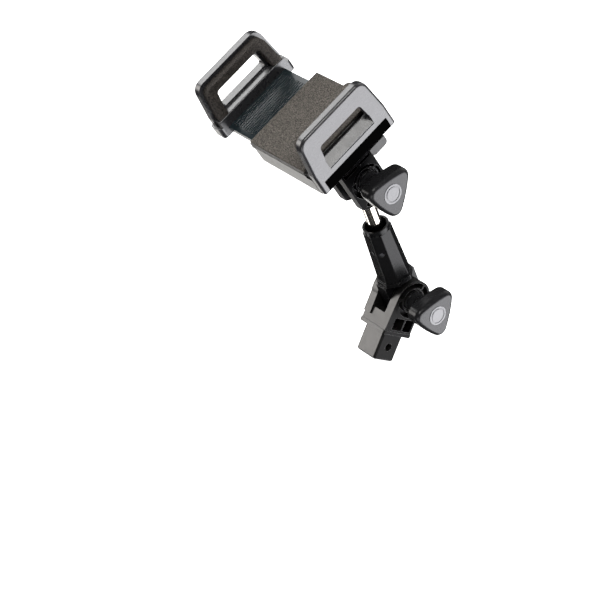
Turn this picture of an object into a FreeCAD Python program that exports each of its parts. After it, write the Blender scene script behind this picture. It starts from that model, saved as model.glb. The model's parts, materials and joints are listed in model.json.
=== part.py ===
"""Phone mount: a sliding-jaw phone cradle carried on a two-knob jointed arm.

Millimetres, +Z up. The origin is the centre of the retaining cross hole in the foot plug. X runs along
both knob axes, from the bolt heads to the knobs, and -Y is the side that the user stands on.
Three local frames carry the pieces: BASE (the row frame), ARM (origin on the lower hinge, +Z along the
arm) and CRADLE (origin on the pad's free end, +X towards the fixed jaw, +Z out of the pad).
"""

import FreeCAD
import Part
import Sketcher
import math
import os
import re

from FreeCAD import Placement, Rotation, Vector

SIZES = {
    # foot and base bracket
    "plug_width": 18.0,
    "plug_depth": 17.0,
    "plug_length": 18.0,
    "plug_hole": 2.6,
    "shoulder": 9.0,
    "block_half": 11.4,
    "foot_half": 12.1,
    "block_front": 14.4,
    "block_rear": 8.8,
    "slot_drop": 12.6,
    "ear_round": 13.2,
    "ear_gap": 10.7,
    "ear_outer": 11.4,
    "head_ear_round": 15.8,
    "head_ear_front": 15.2,
    "head_ear_drop": 17.6,
    "hinge_ahead": 2.8,
    "hinge_height": 33.5,
    "foot_step": 2.4,
    "core_depth": 4.6,
    "moat_depth": 2.5,
    "window_depth": 7.0,
    "moat_inner": 6.4,
    "moat_outer": 7.7,
    "core_inner": 8.5,
    "core_outer": 11.8,
    # bolts, washers and friction discs
    "bolt_radius": 3.0,
    "bolt_hole": 3.05,
    "bolt_end": 30.0,
    "hex_flats": 10.0,
    "hex_height": 4.0,
    "hex_recess": 2.4,
    "disc_thick": 0.8,
    "disc_radius": 9.0,
    "hex_play": 0.1,
    "washer_thick": 1.2,
    "washer_radius": 6.3,
    # knobs
    "knob_face": 35.0,
    "knob_thick": 11.5,
    "knob_reach": 16.5,
    "knob_side": 11.7,
    "knob_corner": 5.6,
    "hub_radius": 6.6,
    "hub_waist": 6.2,
    "hub_flare": 10.0,
    "insert_radius": 5.0,
    "insert_length": 14.0,
    "badge_radius": 6.3,
    "badge_thick": 1.0,
    "badge_proud": 0.25,
    "knob_phase": 75.0,
    # arm and rod
    "arm_lean": 48.4,
    "arm_span": 100.1,
    "rim_height": 59.5,
    "rim_radius": 8.5,
    "rim_band": 3.0,
    "tube_bottom": 18.8,
    "tube_half": 9.9,
    "skirt_bottom": 16.0,
    "skirt_radius": 11.0,
    "tongue_width": 9.0,
    "tongue_radius": 12.2,
    "cup_radius": 7.2,
    "cup_floor": 24.0,
    "bush_bottom": 33.0,
    "bush_top": 50.0,
    "rod_radius": 4.5,
    "rod_bore": 4.55,
    "rod_foot": 29.0,
    "collar_radius": 5.9,
    "head_radius": 9.4,
    "head_waist": 6.6,
    "head_neck": 16.5,
    "spigot_radius": 3.2,
    "spigot_top": 5.6,
    "pin_radius": 1.5,
    # cradle
    "cradle_lean": 59.8,
    "bracket_ahead": 41.0,
    "bracket_drop": 42.0,
    "flange_length": 36.0,
    "flange_width": 26.0,
    "flange_thick": 3.0,
    "lug_front": 13.0,
    "lug_rear": 11.6,
    "lug_core_outer": 17.2,
    "lug_round": 19.0,
    "shell_start": -1.0,
    "shell_end": 59.4,
    "shell_half": 29.6,
    "shell_bottom": -18.6,
    "shell_top": -5.6,
    "wall": 2.2,
    "seam": 0.55,
    "seam_depth": 0.9,
    "rim_line_top": -2.6,
    "rim_line_bottom": -3.6,
    "cover_half": 29.9,
    "cover_end": 53.3,
    "cover_bottom": -5.5,
    "cover_top": -1.5,
    "pad_half": 29.3,
    "jaw_inner": 59.5,
    "jaw_outer": 64.7,
    "jaw_top": 25.0,
    "jaw_bottom": -16.0,
    "jaw_top_half": 26.4,
    "jaw_bend_half": 29.6,
    "jaw_low_half": 29.9,
    "jaw_corner": 7.0,
    "window_low": 1.2,
    "window_sill": -3.0,
    "window_high": 13.2,
    "window_half": 18.4,
    "window_top_half": 16.5,
    "strip_low": -15.2,
    "strip_high": -7.4,
    "strip_half": 26.0,
    "strip_deep": 0.9,
    "foam_thick": 5.9,
    "foam_inset": 2.2,
    "foam_window": 17.2,
    "foam_leg": 20.3,
    "ledge_top": -2.4,
    "ledge_deep": 6.0,
    # sliding jaw and slide
    "slide_inner": -39.6,
    "slide_outer": -45.6,
    "slide_ledge": -0.3,
    "foot_bottom": -12.4,
    "foot_end": 31.4,
    "plate_start": -37.0,
    "plate_end": 24.0,
    "plate_half": 25.4,
    "plate_top": -7.4,
    "plate_bottom": -10.7,
    "rib_pitch": 2.0,
    "rib_width": 0.9,
    "rib_height": 0.45,
    "rib_half": 22.0,
    "rib_count": 27.0,
    "rack_low": 10.0,
    "rack_root": 11.6,
    "rack_tip": 13.0,
    "rack_pitch": 2.4,
    "rack_bottom": -13.2,
    "rack_count": 20.0,
    # ratchet release
    "pawl_pivot_ahead": 30.0,
    "pawl_pivot_side": 17.0,
    "pawl_arm": 20.0,
    "pawl_bottom": -13.4,
    "pawl_top": -11.0,
    "pawl_pin_radius": 1.5,
    "spring_wire": 0.5,
    "spring_radius": 2.1,
    "spring_pitch": 0.8,
    "spring_height": 2.0,
    "spring_bottom": -16.0,
    "button_start": 47.0,
    "button_end": 64.4,
    "button_low": 7.0,
    "button_high": 19.4,
    "button_top": -16.15,
    "button_bottom": -21.9,
    "button_bar_top": -18.7,
    "button_bar_bottom": -21.0,
    "button_travel": 3.0,
    "screw_radius": 1.0,
    "screw_head": 1.9,
    "screw_head_height": 1.4,
}

doc = FreeCAD.newDocument("PhoneMount")
sheet = doc.addObject("Spreadsheet::Sheet", "Sheet")
for row, (alias, value) in enumerate(SIZES.items(), start=1):
    sheet.set("A%d" % row, alias)
    sheet.set("B%d" % row, repr(value))
    sheet.setAlias("B%d" % row, alias)
doc.recompute()


def bound(text):
    """The formula with each sheet alias written as Sheet.alias."""
    return re.sub(r"[a-z_]+", lambda word: "Sheet." + word[0] if word[0] in SIZES else word[0], text)


def mm(text):
    """The value of a formula of sheet aliases."""
    return float(sheet.evalExpression(bound(str(text)).replace("Sheet.", "")))


def bind(target, prop, text):
    target.setExpression(prop, bound(str(text)))


# ---------------------------------------------------------------- local frames

HINGE = Vector(0, mm("hinge_ahead"), mm("hinge_height"))
BASE = Placement()
LOWER = Placement(HINGE, Rotation())
ARM = Placement(HINGE, Rotation(Vector(1, 0, 0), mm("arm_lean")))
UPPER_HINGE = ARM.multVec(Vector(0, 0, mm("arm_span")))
TILT = Rotation(Vector(1, 0, 0), mm("cradle_lean"))
BRACKET_POINT = Vector(mm("bracket_ahead"), 0, -mm("bracket_drop"))
CRADLE = Placement(UPPER_HINGE - TILT.multVec(BRACKET_POINT), TILT)
UPPER = Placement(UPPER_HINGE, TILT)

NODES = []


def node(piece, label, frame=BASE):
    """Name a finished piece, put it in its frame and list it for export."""
    if any("Placement" in path for path, _ in piece.ExpressionEngine):
        piece = group(label + "_placed", piece)
    piece.Label = label
    piece.Placement = frame.multiply(piece.Placement)
    NODES.append(piece)
    return piece


# ---------------------------------------------------------------- Part primitives

def box(name, x, y, z):
    """A block between two formulas along each axis."""
    block = doc.addObject("Part::Box", name)
    for side, axis, (low, high) in (("Length", "x", x), ("Width", "y", y), ("Height", "z", z)):
        bind(block, side, "(%s) - (%s)" % (high, low))
        bind(block, "Placement.Base." + axis, low)
    return block


TURNS = {
    "x": Rotation(Vector(0, 1, 0), 90),
    "y": Rotation(Vector(1, 0, 0), -90),
    "z": Rotation(),
}


def rod(name, radius, span, axis="x", at=("0", "0", "0")):
    """A cylinder of a radius formula, between two formulas along its axis, beside the axis by `at`."""
    low, high = span
    bar = doc.addObject("Part::Cylinder", name)
    bar.Placement = Placement(Vector(), TURNS[axis])
    bind(bar, "Radius", radius)
    bind(bar, "Height", "(%s) - (%s)" % (high, low))
    for letter, offset in zip("xyz", at):
        start = "(%s) + (%s)" % (offset, low) if letter == axis else offset
        bind(bar, "Placement.Base." + letter, start)
    return bar


def hexagon(name, flats, span, at=("0", "0", "0")):
    """A hexagonal prism along X."""
    low, high = span
    prism = doc.addObject("Part::Prism", name)
    prism.Polygon = 6
    prism.Placement = Placement(Vector(), TURNS["x"])
    bind(prism, "Circumradius", "(%s) / 1.7320508" % flats)
    bind(prism, "Height", "(%s) - (%s)" % (high, low))
    bind(prism, "Placement.Base.x", "(%s) + (%s)" % (at[0], low))
    bind(prism, "Placement.Base.y", at[1])
    bind(prism, "Placement.Base.z", at[2])
    return prism


def fuse(name, *pieces):
    union = doc.addObject("Part::MultiFuse", name)
    union.Shapes = list(pieces)
    union.Refine = True
    return union


def cut(name, base, *tools):
    tool = tools[0] if len(tools) == 1 else fuse(name + "_tools", *tools)
    difference = doc.addObject("Part::Cut", name)
    difference.Base = base
    difference.Tool = tool
    return difference


def group(name, *pieces):
    compound = doc.addObject("Part::Compound", name)
    compound.Links = list(pieces)
    return compound


def rounded(name, base, radius, test):
    """Round every edge of a Part object that passes the test."""
    doc.recompute()
    fillet = doc.addObject("Part::Fillet", name)
    fillet.Base = base
    size = mm(radius)
    fillet.Edges = [(i, size, size) for i, edge in enumerate(base.Shape.Edges, start=1) if test(edge)]
    return fillet


# ---------------------------------------------------------------- PartDesign bodies

def new_body(name):
    return doc.addObject("PartDesign::Body", name)


def sketch_on(body, role, offset="0"):
    """A sketch on one of the body's own origin planes, moved along the plane's normal."""
    sketch = body.newObject("Sketcher::SketchObject", body.Name + "_sketch")
    plane = [f for f in body.Origin.OriginFeatures if f.Role == role][0]
    sketch.AttachmentSupport = [(plane, "")]
    sketch.MapMode = "FlatFace"
    bind(sketch, "AttachmentOffset.Base.z", offset)
    return sketch


def line(sketch, start, end):
    sketch.addGeometry(Part.LineSegment(Vector(*start), Vector(*end)), False)


def arc(sketch, centre, radius, first, last):
    """An arc, anticlockwise, between two angles in degrees."""
    circle = Part.Circle(Vector(centre[0], centre[1], 0), Vector(0, 0, 1), radius)
    sketch.addGeometry(Part.ArcOfCircle(circle, math.radians(first), math.radians(last)), False)


def circle(sketch, centre, radius):
    sketch.addGeometry(Part.Circle(Vector(centre[0], centre[1], 0), Vector(0, 0, 1), mm(radius)), False)
    index = sketch.GeometryCount - 1
    constraint = sketch.addConstraint(Sketcher.Constraint("Radius", index, mm(radius)))
    bind(sketch, "Constraints[%d]" % constraint, radius)


def outline(sketch, corners):
    """A closed outline through (u, v, corner radius) points, each corner rounded by an arc."""
    count = len(corners)
    ends = []
    for i, (u, v, radius) in enumerate(corners):
        here = Vector(u, v, 0)
        back = (Vector(*corners[i - 1][:2], 0) - here).normalize()
        ahead = (Vector(*corners[(i + 1) % count][:2], 0) - here).normalize()
        if not radius:
            ends.append((here, here))
            continue
        half = back.getAngle(ahead) / 2
        reach = radius / math.tan(half)
        first, last = here + back * reach, here + ahead * reach
        middle = here + (back + ahead).normalize() * (radius / math.sin(half))
        bulge = middle + (here - middle).normalize() * radius
        sketch.addGeometry(Part.Arc(first, bulge, last), False)
        ends.append((first, last))
    for i in range(count):
        start, end = ends[i][1], ends[(i + 1) % count][0]
        if start.distanceToPoint(end) > 1e-6:
            sketch.addGeometry(Part.LineSegment(start, end), False)


def pad(body, sketch, length, midplane=False):
    feature = body.newObject("PartDesign::Pad", body.Name + "_pad")
    feature.Profile = sketch
    feature.Midplane = midplane
    bind(feature, "Length", length)
    return feature


def pocket(body, sketch, length, midplane=False, along=False):
    """Cut a sketch into the body, against the sketch's normal unless `along` is set."""
    doc.recompute()
    before = body.Shape.Volume
    feature = body.newObject("PartDesign::Pocket", body.Name + "_pocket")
    feature.Profile = sketch
    feature.Midplane = midplane
    feature.Reversed = along
    bind(feature, "Length", length)
    doc.recompute()
    if not body.Shape.Volume < before - 1e-3:
        raise RuntimeError(body.Name + ": a pocket cuts nothing")
    return feature


def revolve(body, sketch, role):
    feature = body.newObject("PartDesign::Revolution", body.Name + "_revolution")
    feature.Profile = sketch
    line_of_origin = [f for f in body.Origin.OriginFeatures if f.Role == role][0]
    feature.ReferenceAxis = (line_of_origin, [""])
    feature.Angle = 360
    return feature


def dress(body, kind, size, test):
    """Fillet or chamfer every edge of the body's tip that passes the test."""
    doc.recompute()
    tip = body.Tip
    names = ["Edge%d" % i for i, edge in enumerate(tip.Shape.Edges, start=1) if test(edge)]
    feature = body.newObject("PartDesign::" + kind, body.Name + "_" + kind.lower())
    feature.Base = (tip, names)
    bind(feature, "Radius" if kind == "Fillet" else "Size", size)
    return feature


def all_at(edge, axis, value):
    """True where both ends and the middle of an edge lie at one coordinate."""
    points = [vertex.Point for vertex in edge.Vertexes] + [edge.CenterOfMass]
    return all(abs(getattr(point, axis) - value) < 1e-3 for point in points)


# ---------------------------------------------------------------- shared pieces

def screw(name, axis, tail, head, at, into):
    """A socket screw: the shank runs from its tail to its head; `into` is +1 or -1 from head to tail."""
    bearing = "(%s) + (%d * screw_head_height)" % (head, into)
    spans = {1: ((head, bearing), (bearing, tail)), -1: ((bearing, head), (tail, bearing))}[into]
    socket_depth = "(%s) + (%d * 0.8)" % (head, into)
    socket_span = (head, socket_depth) if into > 0 else (socket_depth, head)
    cap = rod(name + "_head", "screw_head", spans[0], axis, at)
    shank = rod(name + "_shank", "screw_radius", spans[1], axis, at)
    socket = rod(name + "_socket", "0.8", socket_span, axis, at)
    return cut(name, fuse(name + "_solid", cap, shank), socket)


def screw_hole(name, axis, tail, head, at, into):
    """The space that a screw fills, so that its hole fits it."""
    bearing = "(%s) + (%d * screw_head_height)" % (head, into)
    mouth = "(%s) - (%d * 5)" % (head, into)
    head_span = (mouth, bearing) if into > 0 else (bearing, mouth)
    shank_span = (bearing, tail) if into > 0 else (tail, bearing)
    cap = rod(name + "_head", "screw_head", head_span, axis, at)
    shank = rod(name + "_shank", "screw_radius", shank_span, axis, at)
    return fuse(name, cap, shank)


def pivot_bolt(name, frame):
    """The hex-headed bolt of a knob joint: head on the -X side, thread towards the knob."""
    head = hexagon(name + "_hex", "hex_flats", ("-ear_outer + hex_recess - hex_height",
                                                 "-ear_outer + hex_recess"))
    shank = rod(name + "_shank", "bolt_radius", ("-ear_outer + hex_recess", "bolt_end"))
    return node(fuse(name, head, shank), name, frame)


def hex_recess(body):
    """The recess in the -X ear that keeps a bolt's head from turning."""
    recess = sketch_on(body, "YZ_Plane", "-ear_outer")
    reach = mm("hex_flats + hex_play") / math.sqrt(3)
    turns = [math.radians(30 + 60 * i) for i in range(6)]
    outline(recess, [(reach * math.cos(turn), reach * math.sin(turn), 0) for turn in turns])
    pocket(body, recess, "hex_recess", along=True)


def friction_discs(name, frame):
    """Two rings between the ears and the tongue that they grip."""
    discs = []
    for side, low in (("left", "-ear_gap / 2"), ("right", "ear_gap / 2 - disc_thick")):
        ring = rod(name + side, "disc_radius", (low, low + " + disc_thick"))
        bore = rod(name + side + "_bore", "bolt_hole", (low + " - 1", low + " + disc_thick + 1"))
        discs.append(cut(name + side + "_ring", ring, bore))
    return node(group(name, *discs), name, frame)


def washer(name, frame):
    start = "ear_outer + 0.02"
    ring = rod(name + "_ring", "washer_radius", (start, start + " + washer_thick"))
    bore = rod(name + "_bore", "bolt_hole", (start + " - 1", start + " + washer_thick + 1"))
    return node(cut(name, ring, bore), name, frame)


def knob_outline(sketch, phase):
    """Three rounded corners joined by bowed sides, each side an arc tangent to both corners."""
    corner = mm("knob_corner")
    reach = mm("knob_reach") - corner
    side = mm("knob_side")
    back = (reach ** 2 - (side - corner) ** 2) / (2 * (side - corner) - reach)
    bow = back + side
    for i in range(3):
        heading = phase + 120 * i
        towards = math.radians(heading)
        centre = (reach * math.cos(towards), reach * math.sin(towards))
        opposite = math.radians(heading + 60)
        far = (-back * math.cos(opposite), -back * math.sin(opposite))
        swing = math.degrees(math.atan2(centre[1] - far[1], centre[0] - far[0]))
        lean = (heading + 60 - swing) % 360
        arc(sketch, centre, corner, heading - 60 + lean, heading + 60 - lean)
        arc(sketch, far, bow, heading + 60 - lean, heading + 60 + lean)


def knob(name, frame, phase):
    """A three-lobed hand knob with a round hub, bored for its brass insert and cut for its badge."""
    body = new_body(name + "_body")
    start = "knob_face - knob_thick"
    grip = sketch_on(body, "YZ_Plane", start)
    knob_outline(grip, phase)
    pad(body, grip, "knob_thick")
    face = mm("knob_face")
    back = mm(start)
    dress(body, "Fillet", "3.4", lambda edge: all_at(edge, "x", back))
    dress(body, "Fillet", "3.0", lambda edge: all_at(edge, "x", face))
    hub = sketch_on(body, "XY_Plane")
    foot = mm("ear_outer + 0.04 + washer_thick")
    outline(hub, [
        (foot, 0, 0),
        (foot, mm("hub_radius"), 0.8),
        (foot + 5, mm("hub_waist"), 6),
        (back + 2, mm("hub_flare"), 0),
        (back + 4, mm("hub_flare"), 0),
        (back + 4, 0, 0),
    ])
    revolve(body, hub, "X_Axis")
    bore = sketch_on(body, "YZ_Plane", "ear_outer + 0.04 + washer_thick")
    circle(bore, (0, 0), "insert_radius")
    pocket(body, bore, "insert_length", along=True)
    clearance = sketch_on(body, "YZ_Plane", "ear_outer + washer_thick + insert_length")
    circle(clearance, (0, 0), "bolt_radius + 0.4")
    pocket(body, clearance, "bolt_end - ear_outer - washer_thick - insert_length + 1", along=True)
    seat = sketch_on(body, "YZ_Plane", "knob_face")
    circle(seat, (0, 0), "badge_radius")
    pocket(body, seat, "badge_thick")
    return node(body, name, frame)


def knob_insert(name, frame):
    """The brass nut moulded into a knob."""
    start = "ear_outer + 0.04 + washer_thick"
    solid = rod(name + "_solid", "insert_radius", (start, start + " + insert_length"))
    bore = rod(name + "_bore", "bolt_hole", (start + " - 1", start + " + insert_length + 1"))
    return node(cut(name, solid, bore), name, frame)


def knob_badge(name, frame):
    """A plain round badge with one ring groove."""
    start = "knob_face - badge_thick"
    top = "knob_face + badge_proud"
    disc = rod(name + "_disc", "badge_radius - 0.02", (start, top))
    outer = rod(name + "_outer", "badge_radius * 0.8", (top + " - 0.3", top + " + 1"))
    inner = rod(name + "_inner", "badge_radius * 0.7", (top + " - 0.3", top + " + 1"))
    return node(cut(name, disc, cut(name + "_groove", outer, inner)), name, frame)


def knob_set(prefix, frame, phase):
    washer(prefix + "_washer", frame)
    knob(prefix + "_knob", frame, phase)
    knob_insert(prefix + "_knob_insert", frame)
    knob_badge(prefix + "_knob_badge", frame)


def ring_sector(sketch, inner, outer, first, last):
    """A closed pocket outline between two radii and two angles."""
    def at(radius, angle):
        return (radius * math.cos(math.radians(angle)), radius * math.sin(math.radians(angle)), 0)
    arc(sketch, (0, 0), outer, first, last)
    arc(sketch, (0, 0), inner, first, last)
    line(sketch, at(inner, first), at(outer, first))
    line(sketch, at(inner, last), at(outer, last))


def core_ring(body, sectors):
    """Cores in the knob side of a bracket: a narrow moat round the bolt, then sectors between ribs."""
    moat = sketch_on(body, "YZ_Plane", "ear_outer")
    circle(moat, (0, 0), "moat_outer")
    circle(moat, (0, 0), "moat_inner")
    pocket(body, moat, "moat_depth")
    for outer, first, last in sectors:
        sector = sketch_on(body, "YZ_Plane", "ear_outer")
        ring_sector(sector, mm("core_inner"), mm(outer), first, last)
        pocket(body, sector, "core_depth")


def core_windows(body, windows):
    """Rectangular cores in both outer faces of a bracket."""
    for face, along in (("ear_outer", False), ("-ear_outer", True)):
        for low_u, high_u, low_v, high_v in windows:
            window = sketch_on(body, "YZ_Plane", face)
            outline(window, [(low_u, low_v, 0.7), (high_u, low_v, 0.7), (high_u, high_v, 0.7),
                             (low_u, high_v, 0.7)])
            pocket(body, window, "window_depth", along=along)


# ---------------------------------------------------------------- base

def ear_side(sketch, front, rear, radius, low):
    """Side view of an ear: a round top over a straight front and a straight rear."""
    front_turn = math.degrees(math.acos(front / radius))
    rear_turn = math.degrees(math.acos(rear / radius))
    front_end = (-front, -radius * math.sin(math.radians(front_turn)), 0)
    rear_end = (rear, -radius * math.sin(math.radians(rear_turn)), 0)
    line(sketch, (-front, low, 0), front_end)
    arc(sketch, (0, 0), radius, -rear_turn, 180 + front_turn)
    line(sketch, rear_end, (rear, low, 0))
    line(sketch, (rear, low, 0), (-front, low, 0))


def base_ears(body):
    """The block with its two ears: the bolt head's ear is the larger and stands proud in front."""
    front = mm("block_front")
    rear = mm("block_rear")
    radius = mm("ear_round")
    low = mm("shoulder - hinge_height")
    side = sketch_on(body, "YZ_Plane")
    line(side, (-front, low, 0), (-radius, 0, 0))
    turn = math.degrees(math.acos(rear / radius))
    arc(side, (0, 0), radius, -turn, 180)
    line(side, (rear, -radius * math.sin(math.radians(turn)), 0), (rear, low, 0))
    line(side, (rear, low, 0), (-front, low, 0))
    pad(body, side, "2 * block_half", midplane=True)
    ear = sketch_on(body, "YZ_Plane", "-block_half")
    ear_side(ear, mm("head_ear_front"), rear, mm("head_ear_round"), -mm("head_ear_drop"))
    pad(body, ear, "block_half - ear_gap / 2")


def foot_plug(body):
    """The plug below the shoulder, its end chamfered, with the cross hole through it."""
    plug = sketch_on(body, "XY_Plane", "shoulder - hinge_height - plug_length")
    wide = mm("plug_width") / 2
    deep = mm("plug_depth") / 2
    mid = -mm("hinge_ahead")
    outline(plug, [(-wide, mid - deep, 1.5), (wide, mid - deep, 1.5), (wide, mid + deep, 1.5),
                   (-wide, mid + deep, 1.5)])
    pad(body, plug, "plug_length")
    cross = sketch_on(body, "YZ_Plane")
    circle(cross, (mid, -mm("hinge_height")), "plug_hole")
    pocket(body, cross, "60", midplane=True)
    tip = mm("shoulder - hinge_height - plug_length")
    dress(body, "Chamfer", "0.8", lambda edge: all_at(edge, "z", tip))


def base_bracket():
    """Two ears on a cored block, over a shouldered foot plug with a cross hole. Frame: lower hinge."""
    body = new_body("base_bracket_body")
    base_ears(body)
    front = -mm("block_front")
    rear = mm("block_rear")
    foot = sketch_on(body, "XY_Plane", "shoulder - hinge_height")
    half = mm("foot_half")
    outline(foot, [(-half, front - 0.5, 1.2), (half, front - 0.5, 1.2), (half, rear + 0.5, 1.2),
                   (-half, rear + 0.5, 1.2)])
    pad(body, foot, "foot_step")
    slot = sketch_on(body, "XZ_Plane")
    gap = mm("ear_gap") / 2
    above = mm("head_ear_round") + 5
    outline(slot, [(-gap, -mm("slot_drop"), 1.2), (gap, -mm("slot_drop"), 1.2), (gap, above, 0),
                   (-gap, above, 0)])
    pocket(body, slot, "60", midplane=True)
    bolt_way = sketch_on(body, "YZ_Plane")
    circle(bolt_way, (0, 0), "bolt_hole")
    pocket(body, bolt_way, "60", midplane=True)
    hex_recess(body)
    core_ring(body, [("core_outer", 72, 186), ("core_outer", 192, 306), ("core_outer", -48, 66)])
    core_windows(body, [(front + 5.4, -0.7, -21.0, -13.2), (0.5, rear - 1.3, -21.0, -13.2)])
    foot_plug(body)
    return node(body, "base_bracket", LOWER)


# ---------------------------------------------------------------- arm and rod

def eight_sided(sketch, half, corner, bevel):
    """A square of half width `half`, bevelled at its corners, with every corner rounded."""
    flat = half - bevel
    points = [(half, -flat), (half, flat), (flat, half), (-flat, half), (-half, flat), (-half, -flat),
              (-flat, -half), (flat, -half)]
    outline(sketch, [(u, v, corner) for u, v in points])


def arm():
    """Tapered faceted tube with an open cup, a skirt, and a tongue between the base's ears."""
    body = new_body("arm_body")
    low = sketch_on(body, "XY_Plane", "tube_bottom")
    half = mm("tube_half")
    eight_sided(low, half, 1.2, half * 0.56)
    high = sketch_on(body, "XY_Plane", "rim_height - rim_band")
    rim = mm("rim_radius")
    eight_sided(high, rim, 1.2, rim * 0.56)
    loft = body.newObject("PartDesign::AdditiveLoft", "arm_loft")
    loft.Profile = low
    loft.Sections = [high]
    loft.Ruled = True
    band = sketch_on(body, "XY_Plane", "rim_height - rim_band")
    circle(band, (0, 0), "rim_radius")
    pad(body, band, "rim_band")
    skirt = sketch_on(body, "XY_Plane", "skirt_bottom")
    wide = mm("skirt_radius")
    eight_sided(skirt, wide, 2.0, wide * 0.56)
    pad(body, skirt, "tube_bottom - skirt_bottom")
    tongue = sketch_on(body, "YZ_Plane")
    reach = mm("tongue_radius")
    top = mm("skirt_bottom")
    line(tongue, (-reach, top, 0), (-reach, 0, 0))
    arc(tongue, (0, 0), reach, 180, 360)
    line(tongue, (reach, 0, 0), (reach, top, 0))
    line(tongue, (reach, top, 0), (-reach, top, 0))
    pad(body, tongue, "tongue_width", midplane=True)
    eye = sketch_on(body, "YZ_Plane")
    circle(eye, (0, 0), "bolt_hole")
    pocket(body, eye, "40", midplane=True)
    cup = sketch_on(body, "XY_Plane", "rim_height")
    circle(cup, (0, 0), "cup_radius")
    pocket(body, cup, "rim_height - cup_floor")
    return body


def set_screw_ways(name, radius, span):
    """Two radial rods, square to neighbouring facets on the user's side of the arm."""
    ways = []
    for i, heading in enumerate((-90, -45)):
        way = doc.addObject("Part::Cylinder", "%s_%d" % (name, i))
        inner, outer = span
        bind(way, "Radius", radius)
        bind(way, "Height", "(%s) - (%s)" % (outer, inner))
        turn = Rotation(Vector(0, 0, 1), heading).multiply(TURNS["x"])
        start = Rotation(Vector(0, 0, 1), heading).multVec(Vector(mm(inner), 0, 0))
        way.Placement = Placement(start + Vector(0, 0, mm("bush_top - 8")), turn)
        ways.append(way)
    return ways


def arm_pieces():
    tube = cut("arm_drilled", arm(), *set_screw_ways("arm_hole", "1.5", ("cup_radius - 1", "14")))
    node(tube, "arm", ARM)
    screws = set_screw_ways("set_screw", "1.48", ("cup_radius", "cup_radius + 1.6"))
    node(group("arm_set_screws", *screws), "arm_set_screws", ARM)
    sleeve = rod("bush_sleeve", "cup_radius", ("bush_bottom", "bush_top"), "z")
    bore = rod("bush_bore", "rod_bore", ("bush_bottom - 1", "bush_top + 1"), "z")
    node(cut("arm_bush", sleeve, bore), "arm_bush", ARM)


def swivel_pieces():
    """The rod that turns in the arm, its collar under the bush, and the head that the cradle tilts on."""
    shank = rod("rod_shank", "rod_radius", ("rod_foot", "arm_span - head_neck"), "z")
    spigot = rod("rod_spigot", "spigot_radius", ("arm_span - head_neck - 1", "arm_span - spigot_top"), "z")
    collar = rod("rod_collar", "collar_radius", ("rod_foot", "bush_bottom - 0.05"), "z")
    cross = rod("rod_cross", "pin_radius", ("-20", "20"), "x", ("0", "0", "arm_span - 12"))
    node(cut("swivel_rod", fuse("rod_solid", shank, spigot, collar), cross), "swivel_rod", ARM)
    disc = rod("head_disc", "head_radius", ("-tongue_width / 2", "tongue_width / 2"), "x",
               ("0", "0", "arm_span"))
    neck = rod("head_neck", "head_waist", ("arm_span - head_neck", "arm_span"), "z")
    slab = box("head_slab", ("-tongue_width / 2", "tongue_width / 2"), ("-10", "10"),
               ("arm_span - 20", "arm_span + 5"))
    trimmed = doc.addObject("Part::Common", "head_trim")
    trimmed.Base = neck
    trimmed.Tool = slab
    eye = rod("head_eye", "bolt_hole", ("-20", "20"), "x", ("0", "0", "arm_span"))
    socket = rod("head_socket", "spigot_radius", ("arm_span - 20", "arm_span - spigot_top"), "z")
    pin_way = rod("head_pin_way", "pin_radius", ("-20", "20"), "x", ("0", "0", "arm_span - 12"))
    head = cut("rod_head", fuse("head_solid", disc, trimmed), eye, socket, pin_way)
    node(head, "rod_head", ARM)
    pin = rod("rod_pin_bar", "pin_radius", ("-tongue_width / 2 + 0.1", "tongue_width / 2 - 0.1"), "x",
              ("0", "0", "arm_span - 12"))
    node(pin, "rod_pin", ARM)


# ---------------------------------------------------------------- cradle underside

def upper_bracket():
    """Flanged clevis under the cradle, cored on its knob side. Frame: cradle, moved to the hinge."""
    body = new_body("upper_bracket_body")
    front = mm("lug_front")
    rear = mm("lug_rear")
    radius = mm("lug_round")
    top = mm("bracket_drop + shell_bottom")
    front_turn = math.degrees(math.acos(front / radius))
    rear_turn = math.degrees(math.acos(rear / radius))
    side = sketch_on(body, "YZ_Plane")
    front_end = (-front, -radius * math.sin(math.radians(front_turn)), 0)
    rear_end = (rear, -radius * math.sin(math.radians(rear_turn)), 0)
    line(side, (-front, top, 0), front_end)
    arc(side, (0, 0), radius, 180 + front_turn, 360 - rear_turn)
    line(side, rear_end, (rear, top, 0))
    line(side, (rear, top, 0), (-front, top, 0))
    pad(body, side, "2 * ear_outer", midplane=True)
    flange = sketch_on(body, "XY_Plane", "bracket_drop + shell_bottom - flange_thick")
    wide = mm("flange_length") / 2
    deep = mm("flange_width") / 2
    outline(flange, [(-wide, -deep, 3), (wide, -deep, 3), (wide, deep, 3), (-wide, deep, 3)])
    pad(body, flange, "flange_thick")
    slot = sketch_on(body, "XZ_Plane")
    gap = mm("ear_gap") / 2
    outline(slot, [(-gap, 12.5, 1.5), (gap, 12.5, 1.5), (gap, -radius - 5, 0), (-gap, -radius - 5, 0)])
    pocket(body, slot, "80", midplane=True)
    bolt_way = sketch_on(body, "YZ_Plane")
    circle(bolt_way, (0, 0), "bolt_hole")
    pocket(body, bolt_way, "60", midplane=True)
    hex_recess(body)
    core_ring(body, [("lug_rear - 1.2", 30, 144), ("lug_front - 1.4", 150, 230),
                     ("lug_core_outer", 236, 264), ("lug_core_outer", 270, 304),
                     ("lug_rear - 1.2", 310, 384)])
    core_windows(body, [(-front + 1.6, -0.8, 12.6, 18.6), (0.8, rear - 1.6, 12.6, 18.6)])
    return body


BRACKET_SCREWS = [(dx, dy) for dx in (-14.5, 14.5) for dy in (-9.5, 9.5)]
HOUSING_SCREWS = [(x, y) for x in (6, 46) for y in (-27.4, 27.4)]


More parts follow.
